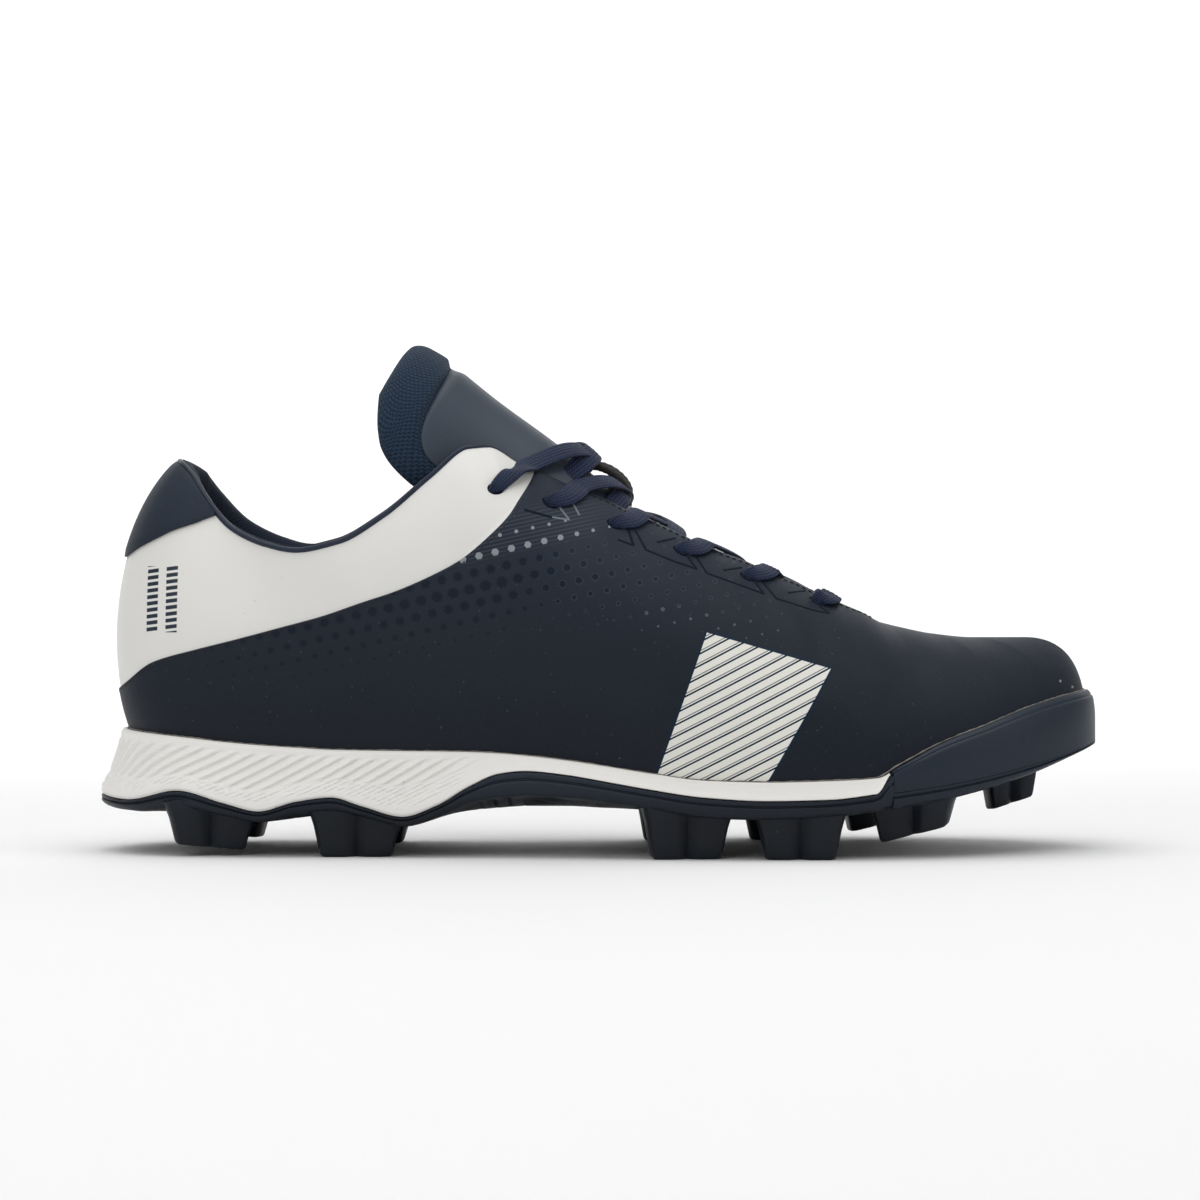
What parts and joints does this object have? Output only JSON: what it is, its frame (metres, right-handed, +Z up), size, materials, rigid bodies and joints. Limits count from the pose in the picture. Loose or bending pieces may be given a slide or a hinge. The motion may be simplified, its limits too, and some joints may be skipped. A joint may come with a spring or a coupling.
{
  "type": "baseball_cleat",
  "caption": "Low baseball cleat for the right foot: hollow lined upper with padded tongue and crossed laces, foam midsole, and a moulded rubber outsole with studs.",
  "frame": {"origin": "middle of the shoe's box, on the floor under the studs", "axes": "+X from heel to toe, +Y to the medial side, +Z up"},
  "size_m": [0.3001, 0.1013, 0.1527],
  "materials": {
    "navy_leather": "satin",
    "white_foam": "matt",
    "navy_rubber": "satin",
    "navy_mesh": "matt",
    "navy_cord": "matt",
    "black_hide": "matt",
    "grey_board": "matt"
  },
  "bodies": {
    "root": {"outsole": "navy_rubber", "midsole": "white_foam", "insole": "grey_board", "upper": "navy_leather", "heel_tab": "navy_leather", "collar_lining": "navy_mesh", "tongue": "navy_mesh", "tongue_panel": "navy_leather", "lace_cross_1": "navy_cord", "lace_cross_2": "navy_cord", "lace_cross_3": "navy_cord", "lace_cross_4": "navy_cord", "lace_cross_5": "navy_cord", "lace_toe_bar": "navy_cord", "lace_keeper": "black_hide"}
  },
  "joints": []
}
